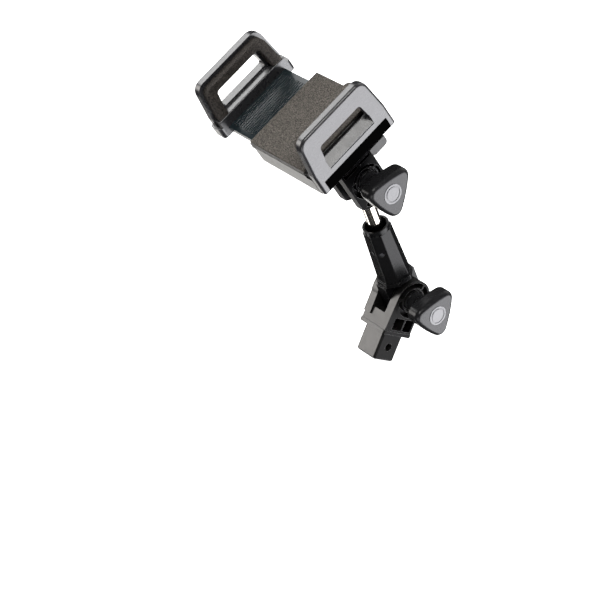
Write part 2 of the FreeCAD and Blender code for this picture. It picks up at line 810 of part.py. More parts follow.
def screws_through(name, places, tail, head, make):
    """Vertical screws, or their holes, with heads below."""
    made = []
    for i, (x, y) in enumerate(places):
        made.append(make("%s_%d" % (name, i), "z", tail, head, (str(x), str(y), "0"), 1))
    return made


def bracket_places():
    return [(mm("bracket_ahead") + dx, dy) for dx, dy in BRACKET_SCREWS]


def bracket_pieces():
    head = "shell_bottom - flange_thick"
    tail = "shell_bottom + wall"
    block = upper_bracket()
    block.Placement = Placement(BRACKET_POINT, Rotation())
    holes = screws_through("flange_hole", bracket_places(), tail, head, screw_hole)
    node(cut("upper_bracket_drilled", block, *holes), "upper_bracket", CRADLE)
    screws = screws_through("bracket_screw", bracket_places(), tail, head, screw)
    node(group("bracket_screws", *screws), "bracket_screws", CRADLE)


def lower_shell():
    """Tray under the cradle: guides for the slide plate, an open end for it, bosses for the screws."""
    body = new_body("lower_shell")
    start, end = mm("shell_start"), mm("shell_end")
    half = mm("shell_half")
    wall = mm("wall")
    base = sketch_on(body, "XY_Plane", "shell_bottom")
    outline(base, [(start, -half, 1.5), (end, -half, 1.5), (end, half, 1.5), (start, half, 1.5)])
    pad(body, base, "shell_top - shell_bottom")
    bottom = mm("shell_bottom")
    dress(body, "Fillet", "1.6", lambda edge: all_at(edge, "z", bottom))
    tray = sketch_on(body, "XY_Plane", "shell_top")
    inner = half - wall
    outline(tray, [(start + wall, -inner, 0.5), (end - wall, -inner, 0.5), (end - wall, inner, 0.5),
                   (start + wall, inner, 0.5)])
    pocket(body, tray, "shell_top - shell_bottom - wall")
    rail = mm("plate_half") - 0.9
    for side in (-1, 1):
        guide = sketch_on(body, "XY_Plane", "shell_bottom + wall / 2")
        near, far = sorted((side * rail, side * (inner + 0.5)))
        outline(guide, [(start + wall / 2, near, 0), (end - wall / 2, near, 0), (end - wall / 2, far, 0),
                        (start + wall / 2, far, 0)])
        pad(body, guide, "plate_bottom - 0.05 - shell_bottom - wall / 2")
    mouth = sketch_on(body, "XY_Plane", "shell_top")
    opening = mm("plate_half") + 0.1
    outline(mouth, [(start - 2, -opening, 0), (start + wall + 1, -opening, 0),
                    (start + wall + 1, opening, 0), (start - 2, opening, 0)])
    pocket(body, mouth, "shell_top - plate_bottom + 0.05")
    for x, y in HOUSING_SCREWS:
        boss = sketch_on(body, "XY_Plane", "shell_bottom + wall / 2")
        near, far = sorted((math.copysign(mm("plate_half") + 0.1, y), math.copysign(half - wall / 2, y)))
        outline(boss, [(x - 2.3, near, 0), (x + 2.3, near, 0), (x + 2.3, far, 0), (x - 2.3, far, 0)])
        pad(body, boss, "shell_top - shell_bottom - wall / 2")
    return body


def jaw_screw_places():
    return [("0", str(y), "-11.4") for y in (-19, 19)]


def housing_pieces():
    """Lower shell and cover, held together by screws from below, with the pad on the cover."""
    tray = lower_shell()
    bosses = []
    for i, place in enumerate(jaw_screw_places()):
        bosses.append(rod("jaw_boss_%d" % i, "2.6", ("shell_end - wall - 3.4", "shell_end - wall / 2"),
                          "x", place))
    body = fuse("shell_bossed", tray, *bosses)
    head, tail = "shell_bottom", "cover_bottom + 2.6"
    holes = screws_through("shell_hole", HOUSING_SCREWS, tail, head, screw_hole)
    holes += screws_through("shell_flange_hole", bracket_places(), "shell_bottom + wall",
                            "shell_bottom - flange_thick", screw_hole)
    for i, place in enumerate(jaw_screw_places()):
        holes.append(rod("shell_jaw_hole_%d" % i, "screw_radius", ("shell_end - 6", "shell_end + 1"),
                         "x", place))
    rack_notch = box("rack_notch", ("shell_start - 1", "shell_start + wall + 1"),
                     ("rack_low - 0.2", "rack_tip + 0.2"), ("rack_bottom - 0.1", "plate_bottom + 0.5"))
    outside = box("seam_outside", ("shell_start - 1", "shell_end + 1"),
                  ("-shell_half - 1", "shell_half + 1"), ("shell_top - seam", "shell_top + 1"))
    inside = box("seam_inside", ("shell_start + seam_depth", "shell_end - seam_depth"),
                 ("-shell_half + seam_depth", "shell_half - seam_depth"),
                 ("shell_top - seam - 1", "shell_top + 2"))
    seam = cut("shell_seam", outside, inside)
    stem_slot = box("stem_slot", ("button_start - 0.2", "button_start + 4.2"),
                    ("19.8 - button_travel", "24.2"), ("shell_bottom - 1", "shell_bottom + wall + 1"))
    pin_seat = rod("pin_seat", "pawl_pin_radius", ("shell_bottom + 0.8", "shell_bottom + wall + 0.5"),
                   "z", ("pawl_pivot_ahead", "pawl_pivot_side", "0"))
    node(cut("housing_shell", body, rack_notch, seam, stem_slot, pin_seat, *holes), "housing_shell", CRADLE)
    plate = box("cover_block", ("shell_start", "cover_end"), ("-cover_half", "cover_half"),
                ("cover_bottom", "cover_top"))
    start = mm("shell_start")
    top = mm("cover_top")
    softened = rounded("cover_round", plate, "0.8", lambda edge: all_at(edge, "z", top)
                       and not all_at(edge, "x", start))
    cover_holes = screws_through("cover_hole", HOUSING_SCREWS, tail, head, screw_hole)
    lines = [box("rim_line_%d" % i, ("shell_start - 1", "cover_end + 1"), across,
                 ("rim_line_bottom", "rim_line_top"))
             for i, across in enumerate((("-cover_half - 1", "-cover_half + seam_depth"),
                                         ("cover_half - seam_depth", "cover_half + 1")))]
    node(cut("housing_cover", softened, *lines, *cover_holes), "housing_cover", CRADLE)
    screws = screws_through("housing_screw", HOUSING_SCREWS, tail, head, screw)
    node(group("housing_screws", *screws), "housing_screws", CRADLE)
    pad_block = box("pad_block", ("shell_start + 0.6", "cover_end - 0.1"), ("-pad_half", "pad_half"),
                    ("cover_top + 0.02", "0"))
    node(pad_block, "base_pad", CRADLE)


# ---------------------------------------------------------------- jaws

def jaw_outline(sketch, bottom, inset=0.0):
    """Half a hexagon with rounded shoulders: narrow at the top, widest at the pad and below."""
    top = mm("jaw_top") - inset
    upper = mm("jaw_top_half") - inset
    bend = mm("jaw_bend_half") - inset
    low = mm("jaw_low_half") - inset
    corner = mm("jaw_corner") - inset * 0.6
    outline(sketch, [(-upper, top, corner), (-bend, 0, 8), (-low, bottom, 1.5), (low, bottom, 1.5),
                     (bend, 0, 8), (upper, top, corner)])


def window_outline(sketch, low):
    half = mm("window_half")
    upper = mm("window_top_half")
    top = mm("window_high")
    outline(sketch, [(-half, low, 1.4), (half, low, 1.4), (upper, top, 2.4), (-upper, top, 2.4)])


def jaw_foam(label, start, ledge, frame):
    """Foam arch glued inside a jaw's rim, its two legs standing on the ledge."""
    body = new_body(label + "_body")
    arch = sketch_on(body, "YZ_Plane", start)
    inset = mm("foam_inset")
    foot = mm(ledge) + 0.05
    corner = mm("jaw_corner") - inset * 0.6
    bend = mm("jaw_bend_half") - inset
    upper = mm("jaw_top_half") - inset
    top = mm("jaw_top") - inset
    leg = mm("foam_leg")
    lintel = mm("foam_window")
    outline(arch, [(-upper, top, corner), (-bend, 0, 0), (-bend, foot, 0), (-leg, foot, 0),
                   (-leg + 1.6, lintel, 3), (leg - 1.6, lintel, 3), (leg, foot, 0), (bend, foot, 0),
                   (bend, 0, 0), (upper, top, corner)])
    pad(body, arch, "foam_thick")
    return node(body, label, frame)


def fixed_jaw():
    """Jaw plate with a bevelled window, a recess for the trim strip and a ledge under its foam."""
    body = new_body("fixed_jaw_body")
    plate = sketch_on(body, "YZ_Plane", "jaw_inner")
    jaw_outline(plate, mm("jaw_bottom"))
    pad(body, plate, "jaw_outer - jaw_inner")
    outer = mm("jaw_outer")
    inner = mm("jaw_inner")
    dress(body, "Fillet", "1.8", lambda edge: all_at(edge, "x", outer))
    ledge = sketch_on(body, "XZ_Plane")
    top = mm("ledge_top")
    front = inner - mm("ledge_deep")
    base = mm("shell_top") + 0.05
    outline(ledge, [(front, base, 0), (inner + 1, base, 0), (inner + 1, top, 0), (front, top, 0.8)])
    pad(body, ledge, "2 * jaw_bend_half - 1.6", midplane=True)
    window = sketch_on(body, "YZ_Plane", "jaw_inner - ledge_deep - 1")
    window_outline(window, mm("window_low"))
    pocket(body, window, "jaw_outer - jaw_inner + ledge_deep + 2", along=True)
    sill = sketch_on(body, "XZ_Plane")
    low = mm("window_low")
    outline(sill, [(inner, low, 0), (outer + 0.5, mm("window_sill") - 0.3, 0), (outer + 0.5, low + 2, 0),
                   (inner, low + 2, 0)])
    pocket(body, sill, "2 * window_half", midplane=True)
    groove = sketch_on(body, "YZ_Plane", "jaw_outer")
    edge = mm("window_half")
    under = mm("window_sill") - 0.9
    outline(groove, [(-edge, under, 0), (edge, under, 0), (edge, under + 0.6, 0), (-edge, under + 0.6, 0)])
    pocket(body, groove, "0.7")
    recess = sketch_on(body, "YZ_Plane", "jaw_outer")
    half, bottom, high = mm("strip_half"), mm("strip_low"), mm("strip_high")
    outline(recess, [(-half, bottom, 0.6), (half, bottom, 0.6), (half, high, 0.6), (-half, high, 0.6)])
    pocket(body, recess, "strip_deep")
    return body


def fixed_jaw_pieces():
    head, tail = "jaw_outer - strip_deep", "shell_end - 5"
    holes = []
    screws = []
    for i, place in enumerate(jaw_screw_places()):
        holes.append(screw_hole("jaw_hole_%d" % i, "x", tail, head, place, -1))
        screws.append(screw("jaw_screw_%d" % i, "x", tail, head, place, -1))
    node(cut("fixed_jaw_drilled", fixed_jaw(), *holes), "fixed_jaw", CRADLE)
    node(group("fixed_jaw_screws", *screws), "fixed_jaw_screws", CRADLE)
    strip = box("strip_block", ("jaw_outer - strip_deep + 0.02", "jaw_outer - 0.2"),
                ("-strip_half + 0.05", "strip_half - 0.05"), ("strip_low + 0.05", "strip_high - 0.05"))
    doc.recompute()
    node(rounded("jaw_strip", strip, "0.55", lambda edge: edge.Length < 1), "jaw_strip", CRADLE)
    jaw_foam("fixed_jaw_pad", "jaw_inner - foam_thick - 0.05", "ledge_top", CRADLE)


def sliding_jaw():
    """Jaw plate with a square window and a foot that clamps the end of the slide plate."""
    body = new_body("sliding_jaw_body")
    plate = sketch_on(body, "YZ_Plane", "slide_outer")
    bottom = mm("foot_bottom")
    jaw_outline(plate, bottom)
    pad(body, plate, "slide_inner - slide_outer")
    outer = mm("slide_outer")
    inner = mm("slide_inner")
    dress(body, "Fillet", "1.8", lambda edge: all_at(edge, "x", outer))
    foot = sketch_on(body, "XY_Plane", "foot_bottom")
    front = inner + mm("ledge_deep")
    end = mm("foot_end")
    outline(foot, [(outer + 1.2, -end, 1.6), (front, -end, 2.6), (front, end, 2.6), (outer + 1.2, end, 1.6)])
    pad(body, foot, "ledge_top - foot_bottom - 2.6")
    ledge = sketch_on(body, "XZ_Plane")
    top = mm("slide_ledge")
    low = mm("ledge_top") - 4
    outline(ledge, [(inner - 1, low, 0), (front, low, 0), (front, top, 0.8), (inner - 1, top, 0)])
    pad(body, ledge, "2 * jaw_bend_half - 2", midplane=True)
    window = sketch_on(body, "YZ_Plane", "slide_outer - 1")
    window_outline(window, mm("window_low"))
    pocket(body, window, "slide_inner - slide_outer + ledge_deep + 2", along=True)
    return body


def slide_plate():
    """Flat plate with cross ribs on top and a ratchet rack below, fixed in the sliding jaw's foot."""
    body = new_body("slide_plate_body")
    start, end = mm("plate_start"), mm("plate_end")
    half = mm("plate_half")
    plate = sketch_on(body, "XY_Plane", "plate_bottom")
    outline(plate, [(start, -half, 0), (end, -half, 1.5), (end, half, 1.5), (start, half, 0)])
    pad(body, plate, "plate_top - plate_bottom")
    rack = sketch_on(body, "XY_Plane", "rack_bottom")
    low, root, tip = mm("rack_low"), mm("rack_root"), mm("rack_tip")
    pitch = mm("rack_pitch")
    count = int(mm("rack_count"))
    first = end - 2 - pitch * count
    edge = [(end - 2, low), (first, low)]
    for i in range(count):
        edge.append((first + i * pitch, tip))
        edge.append((first + (i + 1) * pitch - 0.2, root))
    edge.append((end - 2, root))
    for i, start_point in enumerate(edge):
        line(rack, (*edge[i - 1], 0), (*start_point, 0))
    pad(body, rack, "plate_bottom - rack_bottom")
    rib = sketch_on(body, "XY_Plane", "plate_top - 0.1")
    span = mm("rib_half")
    left = mm("slide_inner + ledge_deep") + 1.6
    right = left + mm("rib_width")
    outline(rib, [(left, -span, 0), (right, -span, 0), (right, span, 0), (left, span, 0)])
    ridge = pad(body, rib, "rib_height + 0.1")
    pattern = body.newObject("PartDesign::LinearPattern", "slide_ribs")
    pattern.Originals = [ridge]
    pattern.Direction = (rib, ["H_Axis"])
    bind(pattern, "Length", "rib_pitch * (rib_count - 1)")
    bind(pattern, "Occurrences", "rib_count")
    body.Tip = pattern
    return body


def sliding_pieces():
    head, tail = "slide_outer", "plate_start + 4"
    middle = "(plate_top + plate_bottom) / 2"
    holes = []
    screws = []
    jaw_holes = []
    for i, y in enumerate((-18, 18)):
        place = ("0", str(y), middle)
        jaw_holes.append(screw_hole("slide_hole_%d" % i, "x", tail, head, place, 1))
        holes.append(screw_hole("plate_hole_%d" % i, "x", tail, head, place, 1))
        screws.append(screw("slide_screw_%d" % i, "x", tail, head, place, 1))
    seat = box("plate_seat", ("plate_start", "slide_inner + 20"), ("-plate_half", "plate_half"),
               ("plate_bottom", "plate_top"))
    node(cut("sliding_jaw_drilled", sliding_jaw(), seat, *jaw_holes), "sliding_jaw", CRADLE)
    node(cut("slide_plate_drilled", slide_plate(), *holes), "slide_plate", CRADLE)
    node(group("sliding_jaw_screws", *screws), "sliding_jaw_screws", CRADLE)
    jaw_foam("sliding_jaw_pad", "slide_inner + 0.05", "slide_ledge", CRADLE)


# ---------------------------------------------------------------- ratchet release

def release_pieces():
    """Thumb tab under the fixed jaw, the rocker pawl that it turns, its pivot pin and torsion spring."""
    lip = box("tab_lip", ("button_end - 4.7", "button_end"), ("button_low", "button_high"),
              ("button_bottom", "button_top"))
    bottom = mm("button_bottom")
    tab = rounded("tab_round", lip, "2.6", lambda edge: all_at(edge, "z", bottom) and edge.Length < 6)
    level = ("button_bar_bottom", "button_bar_top")
    bar = box("tab_bar", ("button_start - 1", "button_end - 4"), ("button_high - 3.2", "button_high - 0.8"),
              level)
    foot = box("tab_foot", ("button_start - 1", "button_start + 5"), ("button_high - 3.2", "23.6"), level)
    stem = box("tab_stem", ("button_start", "button_start + 4"), ("20.1", "23.6"),
               ("button_bar_top - 1", "pawl_top"))
    node(fuse("release_button", tab, bar, foot, stem), "release_button", CRADLE)
    body = new_body("pawl_body")
    plan = sketch_on(body, "XY_Plane", "pawl_bottom")
    reach = mm("pawl_arm")
    nose = mm("rack_tip + 0.1 - pawl_pivot_side")
    outline(plan, [(-reach, nose, 0.2), (-reach + 2.6, nose + 2.2, 0), (-4, -1.6, 0), (0, -3.2, 3),
                   (4, -1.4, 0), (reach + 1, 0, 0.4), (reach + 1, 3.0, 0.4), (4, 2.2, 0), (0, 3.6, 3),
                   (-4, 2.2, 0), (-reach, 1.6, 0.4)])
    pad(body, plan, "pawl_top - pawl_bottom")
    eye = sketch_on(body, "XY_Plane", "pawl_top")
    circle(eye, (0, 0), "pawl_pin_radius + 0.05")
    pocket(body, eye, "pawl_top - pawl_bottom + 1")
    body.Placement = Placement(Vector(mm("pawl_pivot_ahead"), mm("pawl_pivot_side"), 0), Rotation())
    node(body, "pawl", CRADLE)
    at_pivot = ("pawl_pivot_ahead", "pawl_pivot_side", "0")
    pin = rod("pawl_pin_bar", "pawl_pin_radius", ("shell_bottom + 0.8", "plate_bottom - 0.2"), "z", at_pivot)
    node(pin, "pawl_pin", CRADLE)
    spring = doc.addObject("Part::Feature", "pawl_spring")
    half = mm("spring_wire") / 2
    helix = Part.makeHelix(mm("spring_pitch"), mm("spring_height"), mm("spring_radius"))
    start = helix.Vertexes[0].Point
    square = ((-half, -half), (half, -half), (half, half), (-half, half))
    corners = [start + Vector(u, 0, v) for u, v in square]
    section = Part.makePolygon(corners + corners[:1])
    spring.Shape = Part.Wire(helix.Edges).makePipeShell([section], True, True)
    pivot = Vector(mm("pawl_pivot_ahead"), mm("pawl_pivot_side"), mm("spring_bottom"))
    spring.Placement = Placement(pivot, Rotation())
    node(spring, "pawl_spring", CRADLE)


# ---------------------------------------------------------------- assembly

base_bracket()
pivot_bolt("lower_bolt", LOWER)
friction_discs("lower_friction_discs", LOWER)
knob_set("lower", LOWER, mm("knob_phase"))
arm_pieces()
swivel_pieces()
bracket_pieces()
pivot_bolt("upper_bolt", UPPER)
friction_discs("upper_friction_discs", UPPER)
knob_set("upper", UPPER, mm("knob_phase - cradle_lean"))
housing_pieces()
fixed_jaw_pieces()
sliding_pieces()
release_pieces()

doc.recompute()

for item in doc.Objects:
    bad = [state for state in item.State if state in ("Invalid", "Error")]
    if bad:
        raise RuntimeError("%s (%s): %s" % (item.Name, item.Label, bad))
for piece in NODES:
    if piece.Shape.isNull() or not piece.Shape.isValid() or not piece.Shape.Solids:
        raise RuntimeError(piece.Label + ": its shape is not a valid solid")

os.makedirs("parts", exist_ok=True)
for piece in NODES:
    piece.Shape.exportStep("parts/%s.step" % piece.Label)
print("wrote", len(NODES), "pieces")
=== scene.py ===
"""Looks of the phone mount: materials, foam pads, camera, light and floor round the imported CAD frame.

Metres, in the CAD's row frame: +X towards the knobs, -Y towards the user, +Z up out of the foot plug.
"""
import json
import math

import bpy
import numpy as np
from mathutils import Matrix, Vector, noise


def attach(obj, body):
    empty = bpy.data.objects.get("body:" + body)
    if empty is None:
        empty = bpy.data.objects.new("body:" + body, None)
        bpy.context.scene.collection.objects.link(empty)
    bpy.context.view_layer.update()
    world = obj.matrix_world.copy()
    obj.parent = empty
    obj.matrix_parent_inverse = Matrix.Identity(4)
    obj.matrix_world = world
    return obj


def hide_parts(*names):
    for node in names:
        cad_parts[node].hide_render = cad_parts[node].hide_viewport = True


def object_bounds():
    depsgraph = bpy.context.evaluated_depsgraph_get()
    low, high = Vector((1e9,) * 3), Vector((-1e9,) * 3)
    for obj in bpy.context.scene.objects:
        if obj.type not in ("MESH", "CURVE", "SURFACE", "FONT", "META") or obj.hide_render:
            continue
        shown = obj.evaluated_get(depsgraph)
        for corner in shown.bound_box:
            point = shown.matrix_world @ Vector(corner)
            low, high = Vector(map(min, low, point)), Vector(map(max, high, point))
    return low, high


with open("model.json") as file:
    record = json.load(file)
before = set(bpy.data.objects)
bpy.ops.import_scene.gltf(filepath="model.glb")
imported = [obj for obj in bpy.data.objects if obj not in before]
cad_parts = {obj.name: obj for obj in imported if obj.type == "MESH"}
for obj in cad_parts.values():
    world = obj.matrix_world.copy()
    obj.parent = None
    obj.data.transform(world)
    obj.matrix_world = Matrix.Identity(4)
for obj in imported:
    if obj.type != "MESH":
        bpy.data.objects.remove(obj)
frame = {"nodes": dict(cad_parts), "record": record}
CAD_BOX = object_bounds()
MM = 0.001
NODES = frame["nodes"]


# ---------------------------------------------------------------- node helpers

class Shader:
    """A material's node tree, with short calls for the nodes that the finishes share."""

    def __init__(self, name):
        self.material = bpy.data.materials.new(name)
        self.material.use_nodes = True
        self.tree = self.material.node_tree
        self.principled = self.tree.nodes["Principled BSDF"]
        self.position = self.add("ShaderNodeTexCoord").outputs["Object"]

    def add(self, kind, **settings):
        node = self.tree.nodes.new(kind)
        for key, value in settings.items():
            setattr(node, key, value)
        return node

    def put(self, socket, value):
        if isinstance(value, bpy.types.NodeSocket):
            self.tree.links.new(value, socket)
        else:
            socket.default_value = value

    def noise(self, size, detail=2.0, roughness=0.5, distortion=0.0):
        """Noise whose blotches are about `size` across."""
        node = self.add("ShaderNodeTexNoise")
        self.put(node.inputs["Vector"], self.position)
        node.inputs["Scale"].default_value = 1 / size
        node.inputs["Detail"].default_value = detail
        node.inputs["Roughness"].default_value = roughness
        node.inputs["Distortion"].default_value = distortion
        return node.outputs["Fac"]

    def cells(self, size):
        """Distance to the nearest of scattered points, about `size` apart."""
        node = self.add("ShaderNodeTexVoronoi")
        self.put(node.inputs["Vector"], self.position)
        node.inputs["Scale"].default_value = 1 / size
        return node.outputs["Distance"]

    def ramp(self, factor, low, high, low_out=0.0, high_out=1.0):
        node = self.add("ShaderNodeMapRange", interpolation_type="SMOOTHSTEP")
        self.put(node.inputs["Value"], factor)
        ends = {"From Min": low, "From Max": high, "To Min": low_out, "To Max": high_out}
        for name, value in ends.items():
            self.put(node.inputs[name], value)
        return node.outputs["Result"]

    def math(self, operation, first, second=0.0):
        node = self.add("ShaderNodeMath", operation=operation)
        self.put(node.inputs[0], first)
        self.put(node.inputs[1], second)
        return node.outputs[0]

    def mix(self, factor, first, second):
        node = self.add("ShaderNodeMix", data_type="RGBA")
        self.put(node.inputs["Factor"], factor)
        self.put(node.inputs["A"], colour(first))
        self.put(node.inputs["B"], colour(second))
        return node.outputs["Result"]

    def bump(self, height, distance, normal=None):
        node = self.add("ShaderNodeBump")
        self.put(node.inputs["Height"], height)
        node.inputs["Distance"].default_value = distance
        if normal is not None:
            self.put(node.inputs["Normal"], normal)
        return node.outputs["Normal"]

    def soft_edges(self, radius):
        """A normal that runs smoothly round sharp edges."""
        node = self.add("ShaderNodeBevel", samples=4)
        node.inputs["Radius"].default_value = radius
        return node.outputs["Normal"]

    def edge_mask(self, radius):
        """1 on an edge, 0 on a flat."""
        soft = self.soft_edges(radius)
        geometry = self.add("ShaderNodeNewGeometry")
        dot = self.add("ShaderNodeVectorMath", operation="DOT_PRODUCT")
        self.put(dot.inputs[0], soft)
        self.put(dot.inputs[1], geometry.outputs["Normal"])
        return self.ramp(dot.outputs["Value"], 0.995, 0.8)

    def facing_x(self, elsewhere, square):
        """A value that goes from `elsewhere` to `square` on faces square to X."""
        split = self.add("ShaderNodeSeparateXYZ")
        self.put(split.inputs[0], self.add("ShaderNodeTexCoord").outputs["Normal"])
        return self.ramp(self.math("ABSOLUTE", split.outputs["X"]), 0.75, 0.97, elsewhere, square)

    def set(self, **inputs):
        for name, value in inputs.items():
            self.put(self.principled.inputs[name.replace("_", " ")], value)
        return self.material


def scaled(base, factor):
    return tuple(channel * factor for channel in base)


def colour(value):
    """A linear colour from a grey level or from red, green and blue."""
    if isinstance(value, (int, float)):
        return (value, value, value, 1.0)
    if isinstance(value, tuple) and len(value) == 3:
        return (*value, 1.0)
    return value


# ---------------------------------------------------------------- materials

CLOUDING = 0.12


def moulded_plastic(name, base, rough, grain=0.22 * MM, depth=0.012 * MM, edge_wear_and_highlight=0.0, edge=0.4 * MM,
                    specular=0.5, burnish=None, dull_sides=1.0):
    """Moulded plastic: spark-eroded grain, faint clouding, handling marks in the gloss, edges paled
    partly by rubbing wear and partly as a painted highlight.

    `dull_sides` scales the shine of the flat faces square to X, which the tool's side cores leave matt.
    """
    shader = Shader(name)
    cloud = shader.noise(12 * MM, 3.0, 0.6)
    fine = shader.noise(grain, 2.0, 0.6)
    tint = shader.ramp(cloud, 0.3, 0.7, 1 - CLOUDING, 1 + CLOUDING)
    body = shader.add("ShaderNodeVectorMath", operation="SCALE")
    shader.put(body.inputs[0], base)
    shader.put(body.inputs["Scale"], tint)
    mask = shader.edge_mask(edge)
    # Edges paled by the mask: partly rubbed wear, partly a painted highlight along the rims.
    wear_and_highlight = shader.math("MULTIPLY", mask, edge_wear_and_highlight)
    pale = shader.mix(wear_and_highlight, body.outputs["Vector"], tuple(min(1.0, c * 3 + 0.06) for c in base))
    marks = shader.noise(4 * MM, 4.0, 0.65, distortion=0.8)
    gloss = shader.ramp(marks, 0.25, 0.75, rough - 0.02, rough + 0.04)
    normal = shader.bump(fine, depth, normal=shader.soft_edges(edge * 0.6))
    material = shader.set(Base_Color=pale, Roughness=gloss, Normal=normal)
    flat_shine = shader.math("MULTIPLY", shader.facing_x(1.0, dull_sides), specular)
    shine = shader.ramp(mask, 0.0, 1.0, flat_shine, specular if burnish is None else burnish)
    shader.put(shader.principled.inputs["Specular IOR Level"], shine)
    return material


def foam_material(name, base):
    """Closed-cell foam: a pebbled skin of small cells, with painted shade in the pits and in a few open
    pores.
    """
    shader = Shader(name)
    pebble = shader.noise(0.62 * MM, 3.0, 0.62)
    grit = shader.noise(0.25 * MM, 2.0, 0.6)
    cells = shader.cells(0.75 * MM)
    # Open pores: darker spots as painted shade, with no hollow in the relief.
    pores = shader.ramp(shader.noise(1.1 * MM, 2.0, 0.5), 0.66, 0.74)
    drift = shader.noise(16 * MM, 2.0)
    # Painted shade: darker where the pebble relief is low, lighter on its crests.
    pit_shade = shader.ramp(pebble, 0.36, 0.66)
    body = shader.mix(pit_shade, scaled(base, 0.25), scaled(base, 2.1))
    body = shader.mix(shader.math("MULTIPLY", pores, 0.55), body, scaled(base, 0.35))
    body = shader.mix(shader.ramp(drift, 0.3, 0.7, 0.0, 0.22), body, scaled(base, 0.75))
    relief = shader.math("ADD", pebble, shader.math("MULTIPLY", grit, 0.4))
    relief = shader.math("SUBTRACT", relief, shader.math("MULTIPLY", cells, 0.35))
    normal = shader.bump(relief, 0.16 * MM)
    shader.principled.inputs["Specular IOR Level"].default_value = 0.25
    return shader.set(Base_Color=body, Roughness=0.86, Normal=normal)


def metal(name, base, rough, brushed, tarnish=0.1):
    """Bare metal: fine tool marks, uneven polish and a little tarnish."""
    shader = Shader(name)
    cloud = shader.noise(6 * MM, 3.0, 0.6)
    body = shader.mix(shader.ramp(cloud, 0.4, 0.8, 0.0, tarnish), base, scaled(base, 0.45))
    marks = shader.noise(0.3 * MM, 3.0, 0.6)
    gloss = shader.ramp(marks, 0.3, 0.7, rough - 0.04, rough + 0.06)
    normal = shader.bump(marks, brushed, normal=shader.soft_edges(0.2 * MM))
    return shader.set(Base_Color=body, Metallic=1.0, Roughness=gloss, Normal=normal)


def finishes():
    """Every finish by name: the record's material slots, and the object's own variants of them."""
    return {
        "bracket_plastic": moulded_plastic("bracket_plastic", (0.006, 0.0058, 0.0056), 0.30, edge_wear_and_highlight=0.12,
                                           depth=0.005 * MM, specular=0.42, burnish=0.8, dull_sides=0.05),
        "arm_plastic": moulded_plastic("arm_plastic", (0.004, 0.004, 0.0044), 0.23, edge_wear_and_highlight=0.10,
                                       depth=0.004 * MM, specular=0.10, burnish=0.8),
        "clevis_plastic": moulded_plastic("clevis_plastic", (0.003, 0.003, 0.0033), 0.30, edge_wear_and_highlight=0.5,
                                          depth=0.005 * MM, specular=0.015, burnish=0.9),
        "shell_plastic": moulded_plastic("shell_plastic", (0.030, 0.029, 0.027), 0.30, edge_wear_and_highlight=0.12,
                                         depth=0.005 * MM),
        "tab_plastic": moulded_plastic("tab_plastic", (0.020, 0.020, 0.020), 0.34, edge_wear_and_highlight=0.1,
                                       depth=0.006 * MM, specular=0.22),
        "jaw_plastic": moulded_plastic("jaw_plastic", (0.020, 0.020, 0.022), 0.27, edge_wear_and_highlight=0.10,
                                       depth=0.008 * MM),
        "knob_plastic": moulded_plastic("knob_plastic", (0.012, 0.012, 0.013), 0.25, edge_wear_and_highlight=0.10,
                                        grain=0.3 * MM, depth=0.003 * MM, specular=0.18),
        "badge_plastic": moulded_plastic("badge_plastic", (0.07, 0.07, 0.076), 0.30, edge_wear_and_highlight=0.1),
        "trim_plastic": moulded_plastic("trim_plastic", (0.001, 0.001, 0.001), 0.8, specular=0.0),
        "foam": foam_material("foam", (0.070, 0.063, 0.055)),
        # A shaded copy of the foam: painted shade for the sliding jaw's pad, whose inner face lies in
        # shadow.
        "shaded_foam": foam_material("shaded_foam", (0.030, 0.026, 0.023)),
        "slide_plastic": moulded_plastic("slide_plastic", (0.012, 0.020, 0.024), 0.24, edge_wear_and_highlight=0.2,
                                         depth=0.004 * MM, edge=0.22 * MM, specular=0.16, burnish=1.0),
        "rod_steel": metal("rod_steel", (0.74, 0.69, 0.62), 0.10, brushed=0.0004 * MM, tarnish=0.15),
        "zinc_steel": metal("zinc_steel", (0.085, 0.087, 0.09), 0.32, brushed=0.003 * MM, tarnish=0.4),
        "brass": metal("brass", (0.70, 0.50, 0.22), 0.25, brushed=0.002 * MM),
        "friction_ring": moulded_plastic("friction_ring", (0.010, 0.010, 0.011), 0.7),
        "acetal": moulded_plastic("acetal", (0.06, 0.058, 0.052), 0.35),
        "screw_steel": metal("screw_steel", (0.10, 0.10, 0.11), 0.35, brushed=0.002 * MM),
    }


FINISHES = finishes()
SLOTS = {part["node"]: part["material_slot"] for part in frame["record"]["subparts"]}


def dress(piece, finish):
    piece.data.materials.clear()
    piece.data.materials.append(FINISHES[finish])


# Nodes whose gloss or tone differs from the other nodes of their slot.
VARIANTS = {"arm": "arm_plastic", "upper_bracket": "clevis_plastic", "rod_head": "arm_plastic",
            "release_button": "tab_plastic", "housing_shell": "shell_plastic",
            "housing_cover": "shell_plastic"}

for node_name, cad_object in NODES.items():
    dress(cad_object, VARIANTS.get(node_name, SLOTS[node_name]))


# ---------------------------------------------------------------- foam pads

FOAM_VOXEL = 0.45 * MM
PEBBLE_LIFT = 0.03 * MM
SWELL_LIFT = 0.06 * MM
# noise cells per metre of the coarse pebbles, the fine pebbles and the swell
COARSE_PER_M, FINE_PER_M, SWELL_PER_M = 1500, 3100, 90


def rounded_copy(node):
    """A CAD solid's mesh remeshed into small even faces with softened edges."""
    piece = bpy.data.objects.new(node.replace("_pad", "_foam"), NODES[node].data.copy())
    bpy.context.scene.collection.objects.link(piece)
    remesh = piece.modifiers.new("remesh", "REMESH")
    remesh.mode = "VOXEL"
    remesh.voxel_size = FOAM_VOXEL
    smooth = piece.modifiers.new("smooth", "SMOOTH")
    smooth.factor = 0.5
    smooth.iterations = 3
    bpy.context.view_layer.update()
    evaluated = piece.evaluated_get(bpy.context.evaluated_depsgraph_get())
    mesh = bpy.data.meshes.new_from_object(evaluated)
    piece.modifiers.clear()
    piece.data = mesh
    return piece


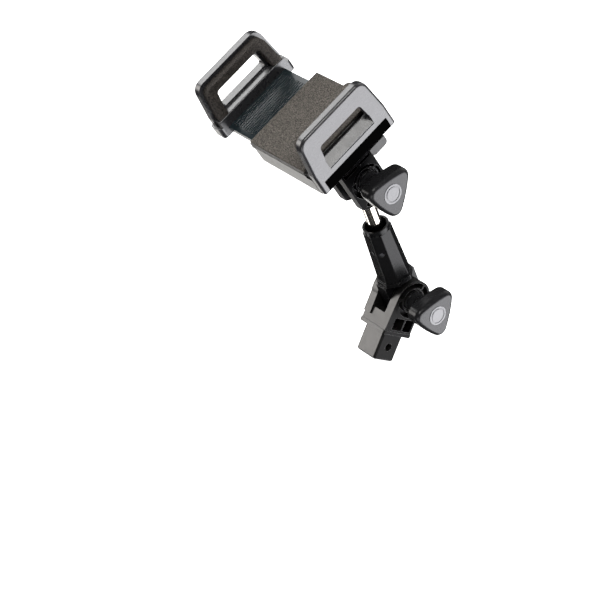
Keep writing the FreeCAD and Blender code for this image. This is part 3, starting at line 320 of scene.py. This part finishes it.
def pebble_skin(mesh):
    """Moves each vertex along its normal: a fine pebbled skin over slightly uneven faces."""
    count = len(mesh.vertices)
    points = np.empty(count * 3, dtype=np.float32)
    normals = np.empty(count * 3, dtype=np.float32)
    mesh.vertices.foreach_get("co", points)
    mesh.vertices.foreach_get("normal", normals)
    points = points.reshape(-1, 3)
    lift = np.empty((count, 1), dtype=np.float32)
    for index, point in enumerate(points.tolist()):
        place = Vector(point)
        pebble = noise.noise(place * COARSE_PER_M) + 0.5 * noise.noise(place * FINE_PER_M)
        lift[index, 0] = pebble * PEBBLE_LIFT + noise.noise(place * SWELL_PER_M) * SWELL_LIFT
    mesh.vertices.foreach_set("co", (points + normals.reshape(-1, 3) * lift).ravel())
    mesh.polygons.foreach_set("use_smooth", [True] * len(mesh.polygons))


def foam_pad(node, body, finish):
    """A foam piece grown from its CAD solid, in that solid's place."""
    piece = rounded_copy(node)
    pebble_skin(piece.data)
    dress(piece, finish)
    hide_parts(node)
    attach(piece, body)


foam_pad("base_pad", "cradle", "foam")
foam_pad("fixed_jaw_pad", "cradle", "foam")
# The sliding jaw's pad takes the shaded copy of the foam: painted shade.
foam_pad("sliding_jaw_pad", "slide", "shaded_foam")


# ---------------------------------------------------------------- floor, camera and light

FLOOR_HALF = 6.0
FLOOR_GAP = 0.5 * MM
BACKDROP_WHITE = 1.05


def build_floor():
    """A wide white floor that only the camera sees, so the cards alone shape the object."""
    low = CAD_BOX[0].z - FLOOR_GAP
    corners = [(x * FLOOR_HALF, y * FLOOR_HALF, low) for x, y in ((-1, -1), (1, -1), (1, 1), (-1, 1))]
    mesh = bpy.data.meshes.new("floor")
    mesh.from_pydata(corners, [], [(0, 1, 2, 3)])
    floor = bpy.data.objects.new("floor", mesh)
    bpy.context.scene.collection.objects.link(floor)
    floor.visible_glossy = False
    floor.visible_diffuse = False
    floor.visible_shadow = False
    shader = Shader("floor_white")
    shader.set(Base_Color=shader.mix(shader.noise(0.4), 0.80, 0.83), Roughness=0.9)
    shader.set(Emission_Color=colour(1.0), Emission_Strength=BACKDROP_WHITE)
    mesh.materials.append(shader.material)


# Each card: its direction from the object, half angle and soft edge in degrees, brightness, colour.
# In turn they light the +X faces, the housing's side, the base bracket's front, the tops, the jaws'
# sills and the arm's edges, and then the far side from below and from overhead.
CARDS = [
    ((0.713, 0.672, -0.20), 24, 7, 10.0, (0.97, 0.97, 1.0)),
    ((-0.75, 0.60, -0.35), 17, 4, 2.3, (1.0, 0.98, 0.95)),
    ((-0.713, -0.672, -0.20), 15, 5, 8.0, (1.0, 0.965, 0.93)),
    ((-0.713, -0.506, 0.485), 17, 6, 8.0, (1.0, 1.0, 1.0)),
    ((0.57, -0.61, 0.55), 10, 4, 18.0, (1.0, 0.99, 0.97)),
    ((-0.45, 0.05, -0.89), 6, 4, 5.0, (1.0, 1.0, 1.0)),
    ((0.66, -0.30, -0.69), 16, 6, 4.0, (1.0, 1.0, 1.0)),
    ((0.0, 0.35, 0.94), 26, 16, 2.0, (1.0, 1.0, 1.0)),
]
FILL = 0.04


def card_light(tree, way, card):
    """One card's light as a colour: full inside its half angle, with a soft edge."""
    direction, half, soft, strength, tint = card
    dot = tree.nodes.new("ShaderNodeVectorMath")
    dot.operation = "DOT_PRODUCT"
    tree.links.new(way, dot.inputs[0])
    dot.inputs[1].default_value = Vector(direction).normalized()
    level = tree.nodes.new("ShaderNodeMapRange")
    level.interpolation_type = "SMOOTHSTEP"
    tree.links.new(dot.outputs["Value"], level.inputs["Value"])
    level.inputs["From Min"].default_value = math.cos(math.radians(half + soft))
    level.inputs["From Max"].default_value = math.cos(math.radians(half - soft))
    level.inputs["To Max"].default_value = strength
    tinted = tree.nodes.new("ShaderNodeVectorMath")
    tinted.operation = "SCALE"
    tinted.inputs[0].default_value = tint
    tree.links.new(level.outputs["Result"], tinted.inputs["Scale"])
    return tinted.outputs["Vector"]


def build_world():
    """White where the camera sees it; for the object, soft round cards of light in a dark room."""
    world = bpy.data.worlds.new("studio")
    bpy.context.scene.world = world
    world.use_nodes = True
    tree = world.node_tree
    way = tree.nodes.new("ShaderNodeTexCoord").outputs["Generated"]
    light = tree.nodes.new("ShaderNodeCombineXYZ")
    for channel in light.inputs:
        channel.default_value = FILL
    total = light.outputs["Vector"]
    for card in CARDS:
        step = tree.nodes.new("ShaderNodeVectorMath")
        step.operation = "ADD"
        tree.links.new(card_light(tree, way, card), step.inputs[0])
        tree.links.new(total, step.inputs[1])
        total = step.outputs["Vector"]
    room = tree.nodes["Background"]
    tree.links.new(total, room.inputs["Color"])
    seen = tree.nodes.new("ShaderNodeBackground")
    seen.inputs["Color"].default_value = colour(BACKDROP_WHITE)
    path = tree.nodes.new("ShaderNodeLightPath")
    choose = tree.nodes.new("ShaderNodeMixShader")
    tree.links.new(path.outputs["Is Camera Ray"], choose.inputs[0])
    tree.links.new(room.outputs[0], choose.inputs[1])
    tree.links.new(seen.outputs[0], choose.inputs[2])
    tree.links.new(choose.outputs[0], tree.nodes["World Output"].inputs["Surface"])


CAMERA_AZIMUTH = math.radians(46.72)
CAMERA_ELEVATION = math.radians(11.57)
CAMERA_ROLL = math.radians(21.23)
CAMERA_DISTANCE = 1.025
CAMERA_LENS = 103.8
AIM = Vector((0.0094, -0.0863, 0.0200))


def build_camera():
    data = bpy.data.cameras.new("camera")
    data.sensor_width = 36.0
    data.lens = CAMERA_LENS
    data.clip_start = 0.05
    camera = bpy.data.objects.new("camera", data)
    bpy.context.scene.collection.objects.link(camera)
    flat = math.cos(CAMERA_ELEVATION)
    back = Vector((math.sin(CAMERA_AZIMUTH) * flat, -math.cos(CAMERA_AZIMUTH) * flat,
                   math.sin(CAMERA_ELEVATION)))
    camera.location = AIM + back * CAMERA_DISTANCE
    level = (-back).to_track_quat("-Z", "Y").to_matrix()
    roll = Matrix.Rotation(CAMERA_ROLL, 3, back)
    camera.rotation_mode = "QUATERNION"
    camera.rotation_quaternion = (roll @ level).to_quaternion()
    bpy.context.scene.camera = camera


build_camera()
build_world()
build_floor()
bpy.context.scene.view_settings.view_transform = "Standard"
